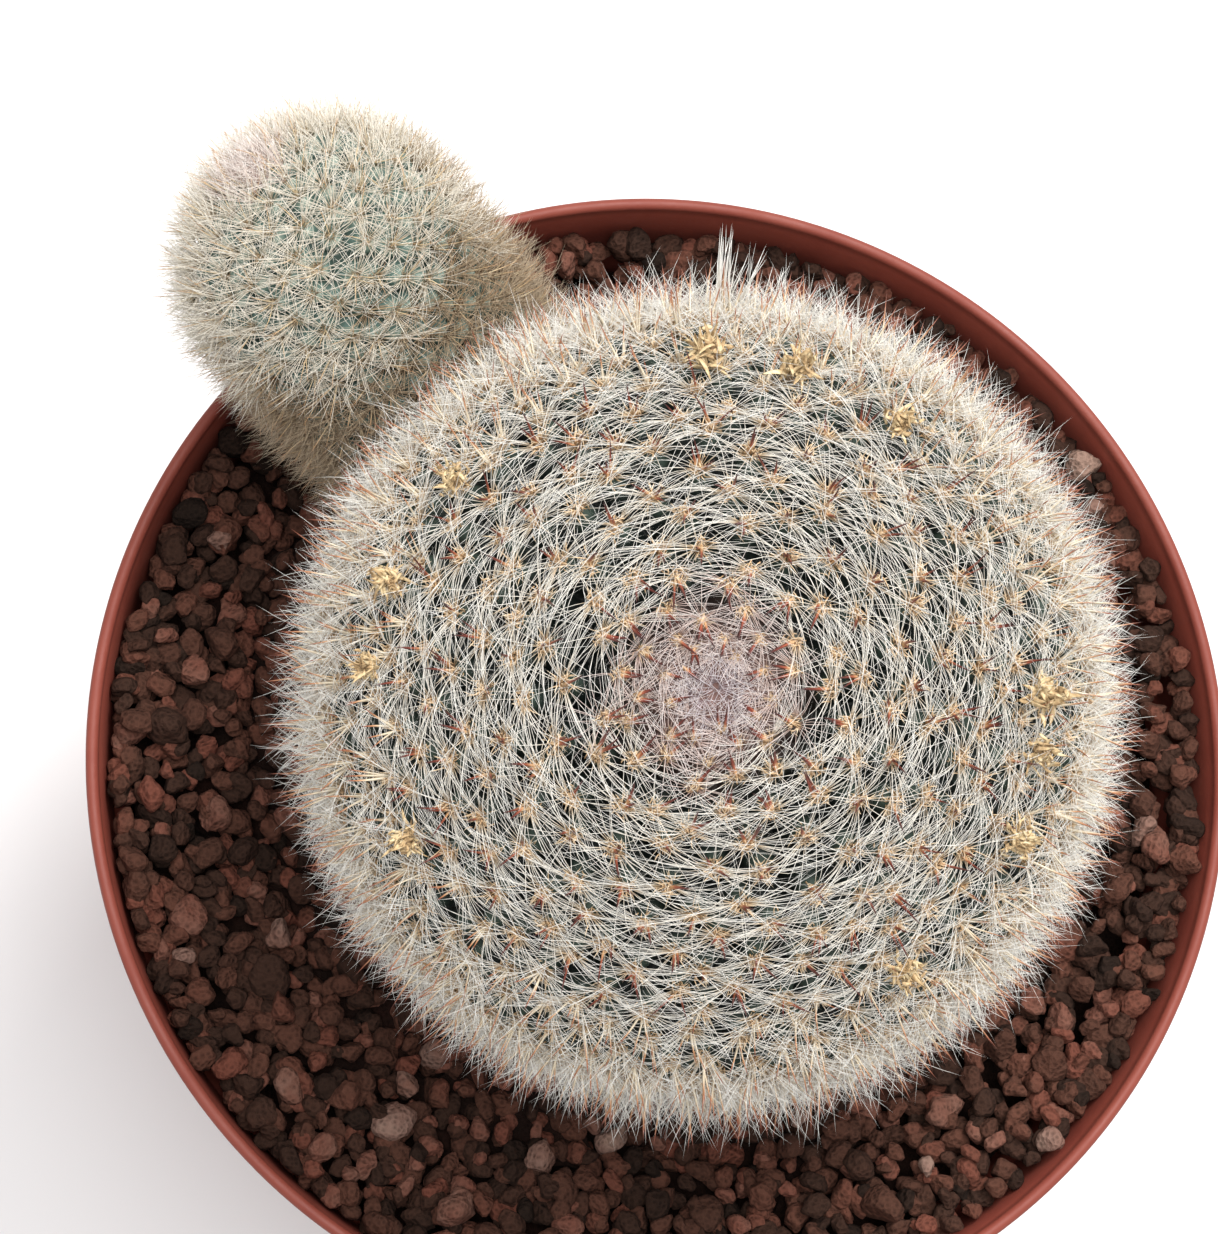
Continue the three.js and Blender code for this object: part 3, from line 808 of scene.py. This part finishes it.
# %% Grow the skin over the tubercles
def stem_piece(name, radius_at, low, top, spots, reach, height, tip, finish, seat, lean,
               turns, rows):
    """A closed stem with a tubercle at every areole."""
    phi = np.linspace(0, 1, rows)
    s = top - (top - low) * (phi ** 1.35)
    r = radius_at(s)
    r[0] = 0.0
    a = np.arange(turns) * 2 * math.pi / turns
    grid = np.stack([r[:, None] * np.cos(a)[None], r[:, None] * np.sin(a)[None],
                     np.repeat(s[:, None], turns, axis=1)], axis=-1)
    tree = kdtree.KDTree(len(spots["local"]))
    for i, p in enumerate(spots["local"]):
        tree.insert(p, i)
    tree.balance()
    flat = grid.reshape(-1, 3)
    near = np.array([tree.find(p)[2] for p in flat])
    cone = np.clip(1 - (near / reach) ** 1.5, 0, 1)
    core_top = min(max(low, 0) + (top - low) * 0.5, top - 5)
    outward = unit(flat - np.array([0, 0, 1.0]) * np.clip(flat[:, 2:3], None, core_top))
    flat = flat + outward * (tip - height * (1 - cone))[:, None]
    blush = 1 - smoothstep(np.hypot(grid[..., 0], grid[..., 1]).ravel(), 0.02 * top, 0.15 * top)
    blush[grid[..., 2].ravel() < top * 0.5] = 0
    bottom = np.array([[0, 0, low - 1.0]])
    points = np.concatenate([flat, bottom])
    i = np.arange(turns)
    last = (rows - 1) * turns
    end = np.stack([last + i, np.full(turns, len(points) - 1), last + (i + 1) % turns], 1)
    faces = np.concatenate([net_faces(rows, turns)[:, ::-1], end])
    piece = mesh_piece(name, points @ axes_of(lean).T + seat, faces, finish)
    keep_on_mesh(piece, "tubercle", np.append(cone, 0))
    keep_on_mesh(piece, "crown", np.append(blush, 0))
    print(name, "triangles:", len(piece.data.polygons))
    return piece


head_stem = stem_piece("head_stem", head_radius, -6.0, HEAD_HEIGHT, head_areoles, 2.4, 4.0,
                       HEAD_TIP, head_skin, HEAD_SEAT, HEAD_LEAN, 400, 230)
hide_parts("main_stem")
pup_stem = stem_piece("pup_stem", pup_radius, -38.0, PUP_R, pup_areoles, 1.6, 1.9,
                      PUP_TIP, pup_skin, PUP_DOME, PUP_LEAN, 190, 130)
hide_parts("offset_stem")

# %% [markdown]
# ## Radial spines
# Each areole spreads about thirty glassy white bristles, low over the plant and
# mostly to the sides, so they weave into the arcs of their neighbours. Their
# overlap is what makes the plant look white, and the skin shows dark between them.

# %% Spread the radial spines
def fan(spots, pick, per, length, rise, sideways, inward, width, bend, draw):
    """Needles that spread round each picked areole, the given share of them
    sweeping to its two sides and round the plant."""
    n = len(pick)
    base = np.repeat(pick, per)
    k = np.tile(np.arange(per), n)
    even = 2 * math.pi * (k + draw.uniform(-0.45, 0.45, n * per)) / per
    swept = np.where(k % 2, math.pi, 0.0) + draw.normal(0, 0.38, n * per)
    to_sides = np.repeat(np.broadcast_to(sideways, n), per)
    turn = np.where(draw.random(n * per) < to_sides, swept, even)
    along = np.abs(np.cos(turn))
    size = np.repeat(length, per) * draw.uniform(0.8, 1.15, n * per) * (0.76 + 0.24 * along)
    low, high = (np.repeat(np.broadcast_to(r, n), per) for r in rise)
    lift = np.radians(low + (high - low) * draw.random(n * per))
    lift += np.repeat(draw.normal(0, 0.06, n), per)
    flat_way = (np.cos(turn)[:, None] * spots["around"][base]
                + np.sin(turn)[:, None] * spots["up"][base])
    pull = np.repeat(np.broadcast_to(inward, n), per)
    ways = unit(np.cos(lift)[:, None] * flat_way + np.sin(lift)[:, None] * spots["normal"][base]
                + pull[:, None] * spots["up"][base])
    bends = (-spots["normal"][base] * (bend * draw.uniform(0.6, 1.5, n * per))[:, None]
             + spots["up"][base] * (0.16 * along * draw.uniform(0, 1.6, n * per))[:, None]
             + draw.normal(0, 0.13, (n * per, 3)))
    roots = spots["place"][base] + flat_way * 0.3 + spots["normal"][base] * 0.05
    thick = np.full(n * per, width) * draw.uniform(0.8, 1.2, n * per)
    return needles(roots, ways, bends, size, thick, 4, 0.5, draw)


def in_batches(name, pick, make, finish, batch):
    """Splits a great many needles into pieces of a handy size."""
    pieces = []
    for start in range(0, len(pick), batch):
        points, triangles, layout = make(pick[start:start + batch])
        piece = mesh_piece(f"{name}_{len(pieces) + 1}", points, triangles, finish, layout)
        pieces.append(piece)
    total = sum(len(p.data.polygons) for p in pieces)
    print(name, "pieces:", len(pieces), "triangles:", total)
    return pieces


is_young = head_areoles["arc"] < 8.2 + rng.normal(0, 1.7, len(head_areoles["arc"]))
is_newest = head_areoles["arc"] < 2.6
grown = np.flatnonzero(~is_young & ~is_newest)
young, newest = np.flatnonzero(is_young & ~is_newest), np.flatnonzero(is_newest)


def head_fan(pick):
    """Full-grown radial spines of the big head."""
    arc = head_areoles["arc"][pick]
    length = 5.4 + 2.6 * smoothstep(arc, 6, 16) - 0.9 * smoothstep(arc, 26, 40)
    sideways = 0.68 - 0.18 * smoothstep(arc, 26, 40)
    flank = smoothstep(arc, 22, 40)
    return fan(head_areoles, pick, 31, length, (8 + 16 * flank, 46 + 32 * flank),
               sideways, 0.1, 0.075, 0.26, rng)


radial_pieces = in_batches("radial_spines", grown, head_fan, radial_finish, 200)

# %% [markdown]
# ## The crown
# New areoles open at the crown. Their bristles are short and crowded, still pinkish,
# and stand up and lean in over the growing point.

# %% Crowd the crown with young spines
def crown_fan(pick):
    """Young bristles, upright and leaning inwards."""
    arc = head_areoles["arc"][pick]
    length = 3.4 + 2.2 * smoothstep(arc, 2, 10)
    return fan(head_areoles, pick, 34, length, (10, 52), 0.3, 0.3, 0.07, 0.24, rng)


def newest_fan(pick):
    """The very first bristles, which spread from the growing point like a star."""
    return fan(head_areoles, pick, 30, np.full(len(pick), 3.2), (8, 40), 0.0, -0.6, 0.07, 0.1,
               rng)


in_batches("crown_spines", young, crown_fan, young_finish, 200)
in_batches("newest_spines", newest, newest_fan, newest_finish, 200)

# %% [markdown]
# ## Central spines
# Up to four stout spines stand in the middle of each areole: straw yellow at the
# root, rust red above, and nearly black at the tip. Young ones lean in over the
# crown, and old ones point away from the plant.

# %% Stand the central spines
def central(spots, pick, per, share, length, lean_up, spread_by, width, draw, taper=0.75):
    """Stout needles that stand in each picked areole."""
    n = len(pick)
    base = np.repeat(pick, per)
    total = n * per
    up_part = np.repeat(lean_up, per) + draw.normal(0, spread_by, total)
    side_part = draw.normal(0, spread_by, total)
    ways = unit(spots["normal"][base] + up_part[:, None] * spots["up"][base]
                + side_part[:, None] * spots["around"][base])
    size = np.repeat(length, per) * draw.uniform(0.72, 1.12, total)
    keep = draw.random(total) < np.repeat(np.broadcast_to(share, n), per)
    bends = draw.normal(0, 0.06, (total, 3)) + spots["up"][base] * 0.05
    roots = spots["place"][base] + draw.normal(0, 0.14, (total, 3))
    thick = np.repeat(np.broadcast_to(width, n), per) * draw.uniform(0.8, 1.15, total)
    return needles(roots[keep], ways[keep], bends[keep], size[keep], thick[keep], 5, taper,
                   draw)


def head_centrals(pick):
    """Central spines of the big head's top: they lean in over the crown."""
    arc = head_areoles["arc"][pick]
    length = 2.6 + 1.9 * smoothstep(arc, 3, 12)
    lean_up = 1.35 - 1.25 * smoothstep(arc, 8, 20)
    width = 0.5 - 0.12 * smoothstep(arc, 10, 24)
    share = 0.62 + 0.08 * smoothstep(arc, 8, 18)
    return central(head_areoles, pick, 3, share, length, lean_up, 0.24, width, rng, 0.6)


def flank_centrals(pick):
    """Central spines of the big head's sides: paler, and square to the skin."""
    arc = head_areoles["arc"][pick]
    return central(head_areoles, pick, 4, 0.78, 4.9 + 0.8 * smoothstep(arc, 34, 46),
                   np.full(len(pick), 0.1), 0.26, 0.38, rng)


arcs = head_areoles["arc"]
top, flank = np.flatnonzero((arcs > 3.2) & (arcs <= 30)), np.flatnonzero(arcs > 30)
in_batches("central_spines", top, head_centrals, central_finish, 1400)
in_batches("flank_central_spines", flank, flank_centrals, flank_central_finish, 1400)

# %% [markdown]
# ## Wool
# A pad of cream felt fills each areole. It is a bundle of short soft hairs that curl
# among one another.

# %% Felt pads in the areoles
def wool(spots, pick, per, size, inward, draw):
    """Short thick hairs that stand in each areole."""
    n = len(pick)
    base = np.repeat(pick, per)
    total = n * per
    pull = np.repeat(np.broadcast_to(inward, n), per)
    ways = unit(spots["normal"][base] * 0.75 + pull[:, None] * spots["up"][base]
                + draw.normal(0, 0.55, (total, 3)))
    size = np.repeat(np.broadcast_to(size, n), per)
    roots = spots["place"][base] + draw.normal(0, 0.25, (total, 3)) * size[:, None]
    length = draw.uniform(0.45, 0.95, total) * size
    return needles(roots, ways, draw.normal(0, 0.35, (total, 3)), length, 0.12 * size, 3, 0.5,
                   draw)


def head_wool(pick):
    """Felt of the big head, leaning inwards near the crown."""
    lean_in = 1.0 - 1.0 * smoothstep(head_areoles["arc"][pick], 8, 20)
    size = 0.8 + 0.7 * smoothstep(head_areoles["arc"][pick], 4, 10)
    return wool(head_areoles, pick, 50, size, lean_in, rng)


in_batches("areole_wool", np.flatnonzero(arcs > 3.4), head_wool, wool_finish, 240)
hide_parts("main_spine_coat")

# %% A tuft of long bristles high on one side
# Bristles in the bundle, its lean and its shift round the head, and its reach.
TUFT_BUNDLES = ((26, 0.0, 0.0, 9.6), (9, -0.42, -0.8, 8.0), (9, -0.16, -4.6, 6.6))
TUFT_HEIGHT, TUFT_TURN = 44.0, 1.53   # along the head's axis, and round it in radians
too_far_round = np.abs(unit(head_areoles["local"][:, :2])
                       - [math.cos(TUFT_TURN), math.sin(TUFT_TURN)]).sum(axis=1)
tuft_place = int(np.argmin(np.abs(head_areoles["s"] - TUFT_HEIGHT) + 30 * too_far_round))
tuft_up, tuft_around = head_areoles["up"][tuft_place], head_areoles["around"][tuft_place]
bundles = []
for count, lean, shift, reach in TUFT_BUNDLES:
    roots = (head_areoles["place"][tuft_place] + shift * tuft_around
             + rng.normal(0, 0.5, (count, 3)))
    ways = unit(head_areoles["normal"][tuft_place] + 0.45 * tuft_up + lean * tuft_around
                + rng.normal(0, 0.045, (count, 3)))
    bundles.append(needles(roots, ways, rng.normal(0, 0.04, (count, 3)),
                           reach * rng.uniform(0.7, 1.05, count), np.full(count, 0.16), 4, 0.6,
                           rng))
tuft_points, tuft_faces, tuft_layout = joined(bundles)
tuft = mesh_piece("long_bristle_tuft", tuft_points, tuft_faces, radial_finish, tuft_layout)
print("long bristles:", sum(bundle[0] for bundle in TUFT_BUNDLES))

# %% [markdown]
# ## The pup's coat
# The pup has the same coat on a smaller scale: finer, shorter and paler spines on
# closer areoles.

# %% Dress the pup
pup_arcs = pup_areoles["arc"]


def pup_fan(pick):
    """Full-grown radial spines of the pup."""
    return fan(pup_areoles, pick, 48, np.full(len(pick), 5.2), (14, 76), 0.25, 0.1, 0.085,
               0.1, rng)


def pup_crown_fan(pick):
    """Young spines round the pup's growing point."""
    return fan(pup_areoles, pick, 36, np.full(len(pick), 4.6), (34, 84), 0.2, 0.15, 0.075,
               0.05, rng)


def pup_centrals(pick):
    """Central spines of the pup."""
    return central(pup_areoles, pick, 3, 0.78, np.full(len(pick), 4.3),
                   np.full(len(pick), 0.15), 0.4, 0.19, rng)


def pup_wool(pick):
    """Felt of the pup."""
    return wool(pup_areoles, pick, 16, 0.8, 0.0, rng)


# The old spines on the lower pup, beside the head, take the darker finish: painted shade.
is_old_shaded = pup_arcs > 21 + rng.normal(0, 3.5, len(pup_arcs))
pup_grown = np.flatnonzero((pup_arcs > 4.0) & ~is_old_shaded)
pup_young, pup_open = np.flatnonzero(pup_arcs <= 4.0), np.flatnonzero(pup_arcs > 1.5)
pup_coat = in_batches("pup_radial_spines", pup_grown, pup_fan, pup_radial_finish, 180)
in_batches("pup_old_shaded_spines", np.flatnonzero(is_old_shaded), pup_fan, pup_old_shaded_finish, 180)
in_batches("pup_crown_spines", pup_young, pup_crown_fan, pup_young_finish, 260)
in_batches("pup_central_spines", pup_open, pup_centrals, pup_central_finish, 900)
in_batches("pup_wool", pup_open, pup_wool, wool_finish, 700)
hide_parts("offset_spine_coat")

# %% [markdown]
# ## Withered flowers
# Old flowers dry to small crumpled tufts that stay caught between the spines. Each
# is a handful of narrow petals that curl over one another.

# %% Crumple the dried flowers
def petal(root, way, side, length, width, curl, draw, steps=6):
    """One narrow curled petal with a little thickness."""
    over = np.cross(way, side)
    t = np.linspace(0, 1, steps + 1)
    crease = draw.uniform(-0.5, 0.5, steps + 1)
    mid = (root + way * (t * length)[:, None]
           + over * (curl * length * t ** 2 + 0.12 * crease * t)[:, None]
           + side * (0.25 * length * np.sin(t * 4 + draw.uniform(0, 6)))[:, None] * 0.3)
    half = width / 2 * np.sin(np.pi * (0.12 + 0.86 * t)) ** 0.7
    fold = over * (0.35 * half * draw.uniform(0.4, 1.2))[:, None]
    thick = over * 0.09
    rows = np.stack([mid - side * half[:, None] + fold, mid, mid + side * half[:, None] + fold], 1)
    points = np.concatenate([rows + thick, rows - thick], axis=1).reshape(-1, 3)
    faces = []
    for k in range(steps):
        a, b = 6 * k, 6 * k + 6
        for p, q in ((0, 1), (1, 2), (2, 5), (5, 4), (4, 3), (3, 0)):
            faces += [(a + p, a + q, b + q), (a + p, b + q, b + p)]
    for a, turned_over in ((0, True), (6 * steps, False)):
        for tri in ((0, 1, 4), (0, 4, 3), (1, 2, 5), (1, 5, 4)):
            faces.append(tuple(a + t for t in (tri if turned_over else tri[::-1])))
    return points, np.array(faces)


FLOWER_DEPTH, PETALS = 3.3, 90   # how far the petals root under the middle, and their count
flower_names = sorted(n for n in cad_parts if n.startswith("dried_flower_"))
head_mid = HEAD_SEAT + unit(HEAD_LEAN) * HEAD_WIDEST_AT
for name in flower_names:
    low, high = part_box(name)
    centre = np.array((low + high) / 2) / MM
    size = max((high - low).x, (high - low).y) / MM
    out = unit(centre - head_mid)
    seat = centre - out * FLOWER_DEPTH
    across = unit(np.cross(out, [0.0, 0.0, 1.0]))
    parts = []
    for _ in range(PETALS):
        turn = rng.uniform(0, 2 * math.pi)
        flat = math.cos(turn) * across + math.sin(turn) * np.cross(out, across)
        way = unit(out * rng.uniform(0.2, 1.1) + flat * rng.uniform(0.2, 1.0))
        side = unit(np.cross(way, out) + rng.normal(0, 0.25, 3))
        side = unit(side - way * (side @ way))
        points, faces = petal(seat + rng.normal(0, 0.12 * size, 3), way, side,
                              size * rng.uniform(0.12, 0.23), size * rng.uniform(0.06, 0.11),
                              rng.uniform(-2.2, 2.2), rng)
        parts.append((points, faces, np.zeros((len(faces) * 3, 2))))
    points, triangles, _ = joined(parts)
    flower = mesh_piece("withered_" + name[-2:], points, triangles, petals_dry)
    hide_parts(name)
print("withered flowers:", len(flower_names))

# %% [markdown]
# ## Light, floor and camera
# The plant stands on a plain pale table in soft daylight. A soft light at the back
# right gives the gentle modelling, a second one overhead and the sky fill the rest.

# %% Floor
floor_mesh = bpy.data.meshes.new("table_top")
floor_mesh.from_pydata([(-4, -4, 0), (4, -4, 0), (4, 4, 0), (-4, 4, 0)], [], [(0, 1, 2, 3)])
table_top = bpy.data.objects.new("table_top", floor_mesh)
bpy.context.scene.collection.objects.link(table_top)
table_top.location.z = -0.0004
floor_finish = Finish("pale_table")
floor_finish.shader.inputs["Base Color"].default_value = (0.69, 0.69, 0.693, 1)
floor_finish.give("Roughness", 0.7)
floor_mesh.materials.append(floor_finish.material)
print("floor ready")

# %% Lights
sky = bpy.data.worlds.new("soft_sky")
bpy.context.scene.world = sky
sky.use_nodes = True
sky.node_tree.nodes["Background"].inputs["Color"].default_value = (1.0, 1.0, 1.0, 1)
sky.node_tree.nodes["Background"].inputs["Strength"].default_value = 0.6


def soft_light(name, place, aim, size, power, colour):
    """A square soft light at a place, aimed at a point."""
    lamp = bpy.data.lights.new(name, "AREA")
    lamp.shape, lamp.size, lamp.energy, lamp.color = "SQUARE", size, power, colour
    holder = bpy.data.objects.new(name, lamp)
    holder.location = place
    holder.rotation_euler = (Vector(aim) - Vector(place)).to_track_quat("-Z", "Y").to_euler()
    bpy.context.scene.collection.objects.link(holder)


soft_light("daylight", (0.4, 0.58, 1.2), (0, 0, 0.1), 0.5, 20.0, (1.0, 0.985, 0.965))
soft_light("ceiling", (-0.12, 0.0, 1.6), (0, 0, 0.1), 0.8, 19.0, (1.0, 1.0, 1.0))
print("lights:", len(bpy.data.lights))

# %% Camera, looking down into the pot
camera_data = bpy.data.cameras.new("camera")
camera = bpy.data.objects.new("camera", camera_data)
bpy.context.scene.collection.objects.link(camera)
camera_data.sensor_width = 36.0
camera_data.lens = 106.4
camera_place = Vector((-54.7, -47.6, 471.0)) * MM
camera_aim = Vector((-6.0, 14.5, POT_HEIGHT)) * MM
tip = Vector((0, 0, -1)).rotation_difference(camera_aim - camera_place)
camera.matrix_world = Matrix.LocRotScale(camera_place, tip, None)
print("camera tips by", round(math.degrees(tip.angle), 1), "degrees")
camera_data.clip_start, camera_data.clip_end = 0.02, 20.0
bpy.context.scene.camera = camera
bpy.context.scene.view_settings.view_transform = "Standard"
